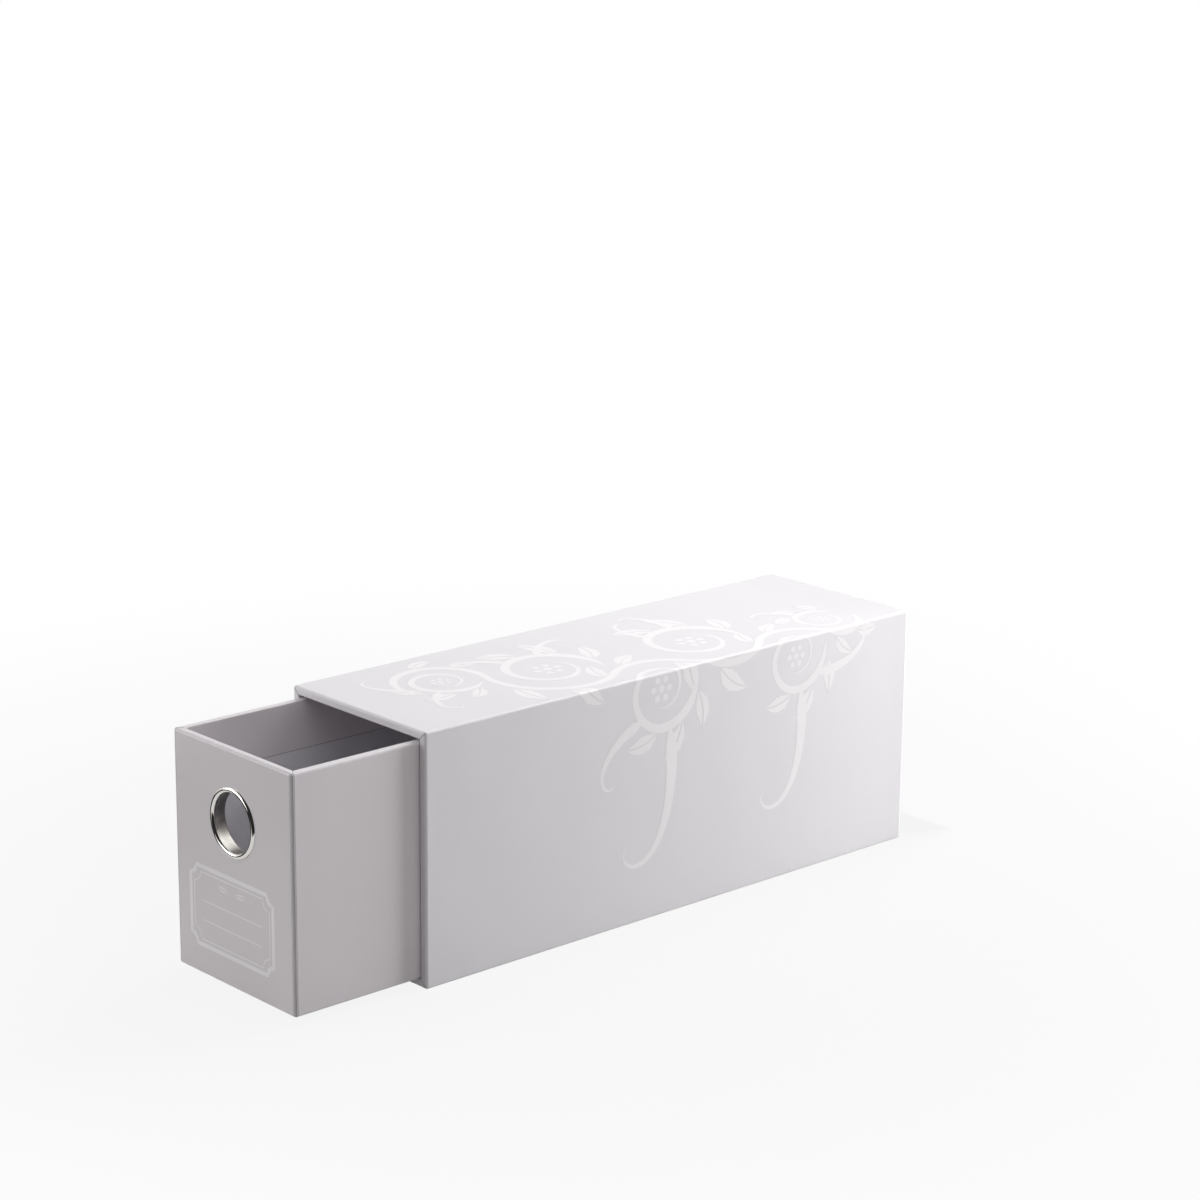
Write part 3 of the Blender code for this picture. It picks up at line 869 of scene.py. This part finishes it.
# %% [markdown]
# ## Strokes of a stencil
# The ornament is a scrolling vine, the kind that bookbinders have always stamped on covers. It is
# drawn flat, in millimetres, as a stencil would be cut: each form is a strip between a left and a
# right edge that follow one path. A stroke swells and tapers, and a leaf is two strips with an open
# midrib between them.

# %% Paths, strokes and leaves
MIDRIB = 0.8
LEAF_STEPS = 18
LOBES = 4
LOBE_DEPTH = 0.28
SWELL = 0.8


def heading(degrees):
    """One millimetre along a heading."""
    return Vector((math.cos(math.radians(degrees)), math.sin(math.radians(degrees))))


def strip(path, left, right):
    """Pairs of edge points beside a path, from the half widths at its points."""
    pairs = []
    for index, point in enumerate(path):
        ahead = path[min(index + 1, len(path) - 1)] - path[max(index - 1, 0)]
        side = Vector((-ahead.y, ahead.x)).normalized()
        pairs.append((point + side * left[index], point - side * right[index]))
    return pairs


def level_path(middle, reach, steps):
    """Points along a level line that reaches equally far to both sides of its middle."""
    return [middle + Vector((reach * (2 * step / steps - 1), 0)) for step in range(steps + 1)]


def stroke(path, width, rise, fall):
    """A brush stroke that swells over its first share and tapers over its last."""
    last = len(path) - 1
    half = [
        width / 2 * min(1.0, index / last / rise, (1 - index / last) / fall) ** SWELL
        for index in range(len(path))
    ]
    return [strip(path, half, half)]


def leaf(base, start, bend, length, width):
    """The two lobed halves of a leaf that grows from its base and turns by a bend, in degrees."""
    path = [base]
    for step in range(LEAF_STEPS):
        path.append(path[-1] + heading(start + bend * step / LEAF_STEPS) * length / LEAF_STEPS)
    edge, rib = [], []
    for step in range(LEAF_STEPS + 1):
        share = step / LEAF_STEPS
        lobes = 1 - LOBE_DEPTH * (share * LOBES % 1) * (1 - share)
        half = width / 2 * math.sin(math.pi * share ** SWELL) * lobes
        edge.append(half)
        rib.append(min(MIDRIB / 2, half))
    inner = [-half for half in rib]
    return [strip(path, edge, inner), strip(path, inner, edge)]


print("a leaf is", len(leaf(Vector((0, 0)), 0, 30, 10, 4)), "strips")

# %% [markdown]
# ## Rosettes and tendrils
# A rosette closes the eye of a scroll: small petals round a disc. A tendril is a long stroke that
# bends more and more, so that it ends in a curl.


# %% Rosettes and tendrils
PETALS = 6
PETAL_STEPS = 8
PETAL_FOOT = 0.42
PETAL_HALF = 0.25
PETAL_SWELL = 1.3
DISC = 0.28
DISC_STEPS = 12
TENDRIL_STEPS = 60
TENDRIL_CURL = 220
CURL_LATE = 6


def rosette(centre, radius):
    """Petals round a disc, in shares of the radius."""
    strips = []
    shares = [step / PETAL_STEPS for step in range(PETAL_STEPS + 1)]
    for petal in range(PETALS):
        out = heading(360 * petal / PETALS)
        path = [centre + out * radius * (PETAL_FOOT + (1 - PETAL_FOOT) * share) for share in shares]
        half = [radius * PETAL_HALF * math.sin(math.pi * share ** PETAL_SWELL) for share in shares]
        strips.append(strip(path, half, half))
    disc = radius * DISC
    path = level_path(centre, disc, DISC_STEPS)
    half = [math.sqrt(max(0, disc ** 2 - (point - centre).length_squared)) for point in path]
    return [*strips, strip(path, half, half)]


def tendril(base, start, bend, length, width):
    """A long tapering stroke that ends in a curl."""
    path = [base]
    for step in range(TENDRIL_STEPS):
        share = step / TENDRIL_STEPS
        turn = start + bend * share + math.copysign(TENDRIL_CURL, bend) * share ** CURL_LATE
        path.append(path[-1] + heading(turn) * length / TENDRIL_STEPS)
    return stroke(path, width, rise=0.12, fall=0.9)


print("a rosette is", len(rosette(Vector((0, 0)), 3)), "strips")

# %% [markdown]
# ## The running vine
# The vine runs over a row of circles that touch each other. Its stem goes round one circle above and
# round the next one below, so that it passes smoothly from each to the next, and where it leaves a
# circle a scroll curls back into it. The row zigzags over the sleeve's long fold. Across is counted
# from that fold: below zero on the top, above it on the side.

# %% Lay out the circles and the stem
FIRST_CIRCLE = Vector((50, -50))
RADII = (20, 29, 25, 30, 22, 17)
ZIGZAG = (18, 52, -38, 42, -36)
FIRST_TURN = 60
LAST_TURN = 40
STEM_STEPS = 40


def circle_centres():
    """Centres of touching circles, from the first circle, the radii and the zigzag's angles."""
    centres = [FIRST_CIRCLE]
    for before, after, turn in zip(RADII, RADII[1:], ZIGZAG):
        centres.append(centres[-1] + heading(turn) * (before + after))
    return centres


def stem_path():
    """Points along the stem, half way or so round each circle in turn."""
    path = []
    for centre, radius, hand, came, goes in zip(CENTRES, RADII, HANDS, ARRIVALS, LEAVINGS):
        sweep = hand * ((hand * (goes - came)) % 360)
        path += [centre + heading(came + sweep * step / STEM_STEPS) * radius for step in range(STEM_STEPS)]
    return path


CENTRES = circle_centres()
HANDS = [-1 if index % 2 else 1 for index in range(len(RADII))]
ARRIVALS = [turn + 180 for turn in (ZIGZAG[0] - FIRST_TURN, *ZIGZAG)]
LEAVINGS = [*ZIGZAG, ZIGZAG[-1] + LAST_TURN]
STEM = stem_path()
print("vine reaches", round(CENTRES[-1].x + RADII[-1]), "mm along the sleeve")

# %% [markdown]
# A scroll starts a little past the place where the stem leaves its circle, and winds inwards by one
# turn and a third. Leaves stand on the same circles in one pattern, mirrored on every second circle:
# each is given by the angle of its foot and by how far it reaches, in shares of the radius.

# %% Scrolls and leaves
CURL_START = 20
CURL_SWEEP = 480
CURL_STEPS = 64
CURL_OUTER = 0.88
CURL_DRAWN_IN = 0.54
SCROLL_WIDTH = 0.17
EYE = 0.25
LEAF_GAP = 2.4
LEAF_LEAN = 48
LEAF_BEND = 44
LEAST_LENGTH = 4
LEAST_WIDTH = 2
WIDTH_SHARE = 0.24
LEAF_TURNS = ((52, 0.54), (92, 0.66), (136, 0.56), (-62, 0.54), (-104, 0.62))


def rim(off):
    """Share of a circle's radius at which its stroke runs, off degrees past where the stem leaves it."""
    curled = max(0.0, off - CURL_START) / CURL_SWEEP
    return 1.0 if off < 0 else CURL_OUTER - CURL_DRAWN_IN * curled ** 0.75


def scroll(centre, radius, goes, hand):
    """The stroke that curls back into a circle, and the rosette in its eye."""
    offs = [CURL_START + CURL_SWEEP * step / CURL_STEPS for step in range(CURL_STEPS + 1)]
    path = [centre + heading(goes + hand * off) * radius * rim(off) for off in offs]
    return stroke(path, radius * SCROLL_WIDTH, rise=0.1, fall=0.85) + rosette(centre, radius * EYE)


def on_circle(index, off):
    """A foot on one of the circles and the angle that points outwards there."""
    turn = LEAVINGS[index] + HANDS[index] * off
    return CENTRES[index] + heading(turn) * RADII[index] * rim(off), turn


def sprig(index, off, reach):
    """One leaf that leans along the vine."""
    foot, turn = on_circle(index, off)
    hand, radius = HANDS[index], RADII[index]
    foot += heading(turn) * LEAF_GAP
    length, width = LEAST_LENGTH + radius * reach, LEAST_WIDTH + radius * WIDTH_SHARE
    return leaf(foot, turn + hand * LEAF_LEAN, hand * LEAF_BEND, length, width)


SCROLLS, LEAVES = [], []
for index, circle in enumerate(zip(CENTRES, RADII, LEAVINGS, HANDS)):
    SCROLLS += scroll(*circle)
    LEAVES += [pairs for turn in LEAF_TURNS for pairs in sprig(index, *turn)]
print("scrolls and rosettes:", len(SCROLLS), "strips, leaves:", len(LEAVES))

# %% [markdown]
# Long fronds hang from the vine and fill the open corners. Each is given by its circle, by the angle
# of its foot past the place where the stem leaves that circle, and by how far it leans away, bends,
# reaches and swells.

# %% Fronds that hang from the vine
FRONDS = (
    (0, -200, 40, 70, 30, 3.4),
    (0, 112, 20, -75, 34, 3.6),
    (1, 112, 0, 62, 36, 4.2),
    (1, 164, -10, -60, 34, 4.0),
    (2, 112, 6, 50, 84, 6.8),
    (2, 168, 34, -62, 46, 5.0),
    (3, 112, 0, -70, 38, 4.4),
    (3, 164, 10, 60, 34, 4.0),
    (4, 72, -30, -62, 46, 4.8),
    (4, 114, 2, 52, 74, 6.2),
    (5, 112, 0, -80, 30, 3.2),
)


def frond(circle, off, lean, bend, length, width):
    """One tendril that grows from a circle."""
    foot, turn = on_circle(circle, off)
    return tendril(foot, turn + lean, bend, length, width)


TENDRILS = [pairs for shape in FRONDS for pairs in frond(*shape)]
print("fronds:", len(TENDRILS))

# %% [markdown]
# ## Print a stencil on paper
# The flat strips become a film that stands a few hundredths of a millimetre proud. They are cut along
# lines that lie beside a fold, so that the film can bend round it, and then every point is moved from
# the flat layout to the box by one function.

# %% A film of varnish from flat strips
FILM = 0.03
LAYER = FILM / 6
ROOT = -0.02


def print_film(layers, bends, placed):
    """A closed film from strips; bends are the cuts across the layout, placed maps a flat point."""
    made = bmesh.new()
    for lift, strips in enumerate(layers):
        for pairs in strips:
            edges = [[made.verts.new((*point, FILM + lift * LAYER)) for point in pair] for pair in pairs]
            for (a, b), (c, d) in zip(edges, edges[1:]):
                made.faces.new((a, b, d, c))
    bmesh.ops.remove_doubles(made, verts=made.verts[:], dist=MM)
    for bend in bends:
        parts = made.verts[:] + made.edges[:] + made.faces[:]
        bmesh.ops.bisect_plane(made, geom=parts, plane_co=(0, bend, 0), plane_no=(0, 1, 0), dist=MM / 10)
    under = made.verts[:]
    bmesh.ops.extrude_face_region(made, geom=made.faces[:])
    for vert in under:
        vert.co.z = ROOT
    for vert in made.verts:
        vert.co = placed(vert.co)
    return made


print(f"film: {FILM:.2f} mm proud of the paper")

# %% [markdown]
# The sleeve's fold is a quarter turn of 1 mm radius. In the flat layout it takes up the length of
# that arc, between the top and the side.

# %% Print the vine on the sleeve
STEM_WIDTH = 3.6
FOLD_ARC = EDGE_ROUND / MM * math.pi / 2
FOLD_CUTS = 8


def on_sleeve(flat):
    """From (along, across, height) in the layout to a point of the sleeve, round its right fold."""
    turn = min(max(flat.y, 0), FOLD_ARC) / (EDGE_ROUND / MM)
    top = min(flat.y, 0) * MM
    side = max(flat.y - FOLD_ARC, 0) * MM
    reach = EDGE_ROUND + flat.z * MM
    return Vector((
        WRAP_HIGH.x - EDGE_ROUND + top + reach * math.sin(turn),
        MOUTH + flat.x * MM,
        WRAP_HIGH.z - EDGE_ROUND - side + reach * math.cos(turn),
    ))


CUTS = [FOLD_ARC * cut / FOLD_CUTS for cut in range(FOLD_CUTS + 1)]
stem = stroke(STEM, STEM_WIDTH, rise=0.05, fall=0.05)
film = print_film([stem, SCROLLS, LEAVES, TENDRILS], CUTS, on_sleeve)
add_piece("sleeve_vine_print", film, VARNISH, "sleeve")

# %% [markdown]
# ## The label frame
# The drawer's front carries a place to write on: a frame with hollow corners, a hairline inside it
# and two writing lines. The frame is a closed path, so its strip ends where it starts.

# %% Print the label frame on the drawer's front
LABEL_CENTRE = Vector((-2.0, 33.6))
LABEL_HALF = Vector((28.0, 17.0))
NOTCH_STEPS = 4
WRITING_REACH = 20.0
WRITING_STEPS = 10
WRITING_HALF_WIDTH = 0.25
LEAF_FOOT = Vector((2.0, 10.6))


def notched(half, hollow):
    """A closed path round a rectangle whose corners are hollowed by a quarter circle."""
    path = []
    for turn, (side_x, side_z) in enumerate(CORNER_SIGNS):
        corner = Vector((side_x * half.x, side_z * half.y))
        for step in range(NOTCH_STEPS + 1):
            angle = 270 - 90 * step / NOTCH_STEPS + 90 * turn
            path.append(LABEL_CENTRE + corner + heading(angle) * hollow)
    return [*path, path[0], path[1]]


def frame_line(inset, hollow, width):
    """One line of the frame, inset from its outside."""
    path = notched(LABEL_HALF - Vector((inset, inset)), hollow)
    half = [width / 2] * len(path)
    return strip(path, half, half)[1:]


def writing_line(up):
    """A line to write on, above the label's middle."""
    path = level_path(LABEL_CENTRE + Vector((0, up)), WRITING_REACH, WRITING_STEPS)
    half = [WRITING_HALF_WIDTH] * len(path)
    return strip(path, half, half)


def on_front(flat):
    """From (across, up, height) in the layout to a point of the drawer's front."""
    return Vector((flat.x * MM, FRONT - flat.z * MM, flat.y * MM))


LABEL = [
    frame_line(0, hollow=4.0, width=1.9),
    frame_line(2.4, hollow=4.6, width=0.55),
    writing_line(2.5),
    writing_line(-6.0),
    *leaf(LABEL_CENTRE + LEAF_FOOT, 0, 14, length=9, width=2.4),
    *leaf(LABEL_CENTRE + LEAF_FOOT * Vector((-1, 1)), 180, -14, length=9, width=2.4),
]
film = print_film([LABEL], [], on_front)
add_piece("drawer_label_print", film, VARNISH, "drawer")

# %% [markdown]
# ## Camera
# The camera stands where the photographer's stood: its place, angles and lens were fitted to the
# corners of the sleeve and the drawer. It looks straight through the middle of the picture.

# %% Set up the camera
CAMERA_PLACE = Vector((0.96668, -0.88940, 0.48732))
CAMERA_YAW = math.radians(47.673)
CAMERA_PITCH = math.radians(-15.183)
CAMERA_ROLL = math.radians(0.530)
CAMERA_LENS = 93.46
SENSOR_WIDTH = 36
FAR_CLIP = 60

lens = bpy.data.cameras.new("camera")
lens.sensor_width = SENSOR_WIDTH
lens.lens = CAMERA_LENS
lens.clip_end = FAR_CLIP
camera = in_scene("camera", lens)
bpy.context.scene.camera = camera
level = Matrix.Rotation(CAMERA_YAW, 4, "Z") @ Matrix.Rotation(math.pi / 2 + CAMERA_PITCH, 4, "X")
camera.matrix_world = Matrix.Translation(CAMERA_PLACE) @ level @ Matrix.Rotation(CAMERA_ROLL, 4, "Z")
bpy.context.scene.view_settings.view_transform = "Standard"
print("camera at", [round(value, 3) for value in CAMERA_PLACE])

# %% [markdown]
# ## Floor and sky
# The box stands on an endless pale table. Near the box a small share of it is lit like any surface,
# which keeps the box's shadow; farther off it is plain white to the camera, to mirrors and to glass.
# Light Path tells these rays from the ones that only carry light. Mirrors see the table's front part
# as dark, because a polished ring looks like metal only if part of what it mirrors is dark.

# %% Pale table
FLOOR_HALF = 15.0
FLOOR_CELLS = 30
FLOOR_DROP = 0.2 * MM
TABLE_GREY = (0.42, 0.42, 0.42)
NEAR_WHITE = 0.88
WHITE_FROM = (0.15, 0.60)
DARK_SIDE = Vector((0.42, -0.78, 0.46))
DARK_TABLE = (0.28, 0.31)
MIRRORED_BLACK = (0.02, 0.02, 0.02)


def ray_kinds(finish):
    """Whether this is a camera, a mirror or a glass ray."""
    paths = finish.node("ShaderNodeLightPath", {}, {}).socket.node.outputs
    return [Value(finish, paths[f"Is {kind} Ray"]) for kind in ("Camera", "Glossy", "Transmission")]


def pale_table():
    finish = Finish("pale_table", TABLE_GREY, 0.9)
    shine = finish.node("ShaderNodeEmission", {}, {"Color": (1, 1, 1, 1), "Strength": 1.0})
    x, y, _ = finish.parts(finish.place())
    far = (x * x + y * y).root().step(*WHITE_FROM)
    eye, mirror, glass = ray_kinds(finish)
    share = eye.most(mirror).most(glass) * (NEAR_WHITE + far * (1 - NEAR_WHITE))
    towards = x * DARK_SIDE.x + y * DARK_SIDE.y
    front = mirror * towards.step(*DARK_TABLE)
    share = share.most(front)
    finish.feed(shine.socket.node, {"Color": finish.mix(front, (1, 1, 1), MIRRORED_BLACK)})
    lit = Value(finish, finish.shader.outputs[0])
    both = finish.node("ShaderNodeMixShader", {}, {0: share, 1: lit, 2: shine})
    finish.feed(finish.tree.nodes["Material Output"], {"Surface": both})
    return finish.material


table = bmesh.new()
bmesh.ops.create_grid(table, x_segments=FLOOR_CELLS, y_segments=FLOOR_CELLS, size=FLOOR_HALF)
floor = in_scene("table", mesh_from("table", table))
floor.data.materials.append(pale_table())
floor.location.z = -FLOOR_DROP
print("table:", 2 * FLOOR_HALF, "m wide")

# %% [markdown]
# The sky gives no light of its own. It is what the camera and the mirrors see: white, but for the
# side of the room behind the camera and to its left, which mirrors see as dark.

# %% White sky with a dark side for mirrors
DARK_SKY = (0.32, 0.38)
SKY_DARKNESS = 0.97


class Sky(Finish):
    """The world's nodes, with the same helpers as a finish."""

    def __init__(self, name):
        world = bpy.data.worlds.new(name)
        world.use_nodes = True
        bpy.context.scene.world = world
        self.tree = world.node_tree
        self.shader = self.tree.nodes["Background"]


sky = Sky("white_room")
eye, mirror, glass = ray_kinds(sky)
outward = sky.node("ShaderNodeTexCoord", {}, {}, "Generated")
towards = sky.node("ShaderNodeVectorMath", {"operation": "DOT_PRODUCT"}, {0: outward, 1: DARK_SIDE}, 1)
bright = 1 - towards.step(*DARK_SKY) * SKY_DARKNESS
sky.feed(sky.shader, {"Color": (1, 1, 1, 1), "Strength": eye.most(glass).most(mirror * bright)})
print("sky:", sky.tree.name)

# %% [markdown]
# Two black cards shape the light, and the camera sees neither. One stands low on the left, only for
# mirrors, and draws a dark line in the finger ring. The other is a flag close behind the box: it keeps
# the low lamp there off the box's back, while the lamp's light still runs along the side.

# %% Black cards
CARD_BLACK = (0.01, 0.01, 0.01)
FACING_SIDE = Matrix.Rotation(math.pi / 2, 4, "Y")
FACING_BACK = Matrix.Rotation(math.pi / 2, 4, "X")


def studio_card(name, place, turn, width, height, hidden):
    """A black card on a stand; hidden names the kinds of rays that pass through it."""
    made = bmesh.new()
    bmesh.ops.create_grid(made, x_segments=1, y_segments=1, size=0.5)
    card = in_scene(name, mesh_from(name, made))
    card.data.materials.append(Finish(name, CARD_BLACK, 0.9).material)
    card.matrix_world = Matrix.Translation(place) @ turn @ Matrix.Diagonal((width, height, 1, 1))
    for kind in ("camera", "transmission", *hidden):
        setattr(card, f"visible_{kind}", False)
    print(f"{name}: {width:.3f} by {height:.3f} m")


studio_card("black_card", (-0.13, -0.25, 0.034), FACING_SIDE, 0.066, 0.30, ("diffuse", "shadow"))
studio_card("back_flag", (-0.049, 0.17, 0.06), FACING_BACK, 0.20, 0.12, ("diffuse", "glossy"))

# %% [markdown]
# ## Soft lights
# Six soft boxes light the box, as in a small product studio: a broad one overhead, one high behind
# for the top's far end, one at the front left for the drawer's front, a small low one behind on the
# right, whose light falls off along the sleeve's side, and two high on the right that fill that side.
# The last two are hidden from mirrors, where they would show as bright spots in the finger ring.


# %% Hang the soft boxes
def soft_box(name, place, target, width, height, watts, mirrored=True):
    """An area lamp that faces its target; mirrored says whether mirrors see it."""
    lamp = bpy.data.lights.new(name, "AREA")
    lamp.shape = "RECTANGLE"
    lamp.size = width
    lamp.size_y = height
    lamp.energy = watts
    holder = in_scene(name, lamp)
    holder.visible_glossy = mirrored
    aim = (Vector(target) - Vector(place)).to_track_quat("-Z", "Y")
    holder.matrix_world = Matrix.Translation(place) @ aim.to_matrix().to_4x4()


soft_box("overhead", (0.0, 0.15, 1.10), (0.0, 0.0, 0.05), 1.6, 1.6, 3.3)
soft_box("over_back", (0.0, 0.95, 0.90), (0.0, 0.10, 0.10), 0.9, 0.9, 16.0)
soft_box("front_left", (-0.70, -1.00, 0.35), (0.0, -0.15, 0.05), 0.8, 0.8, 7.3)
soft_box("right_back", (0.25, 0.70, 0.12), (0.04, 0.05, 0.05), 0.30, 0.25, 6.0)
soft_box("right_high", (0.90, 0.0, 1.00), (0.0, 0.0, 0.05), 0.8, 0.8, 1.6, mirrored=False)
soft_box("right_front", (1.00, -0.60, 0.95), (0.05, 0.0, 0.05), 0.8, 0.8, 2.1, mirrored=False)
print("lights:", len(bpy.data.lights))

# %% Last cell
import json
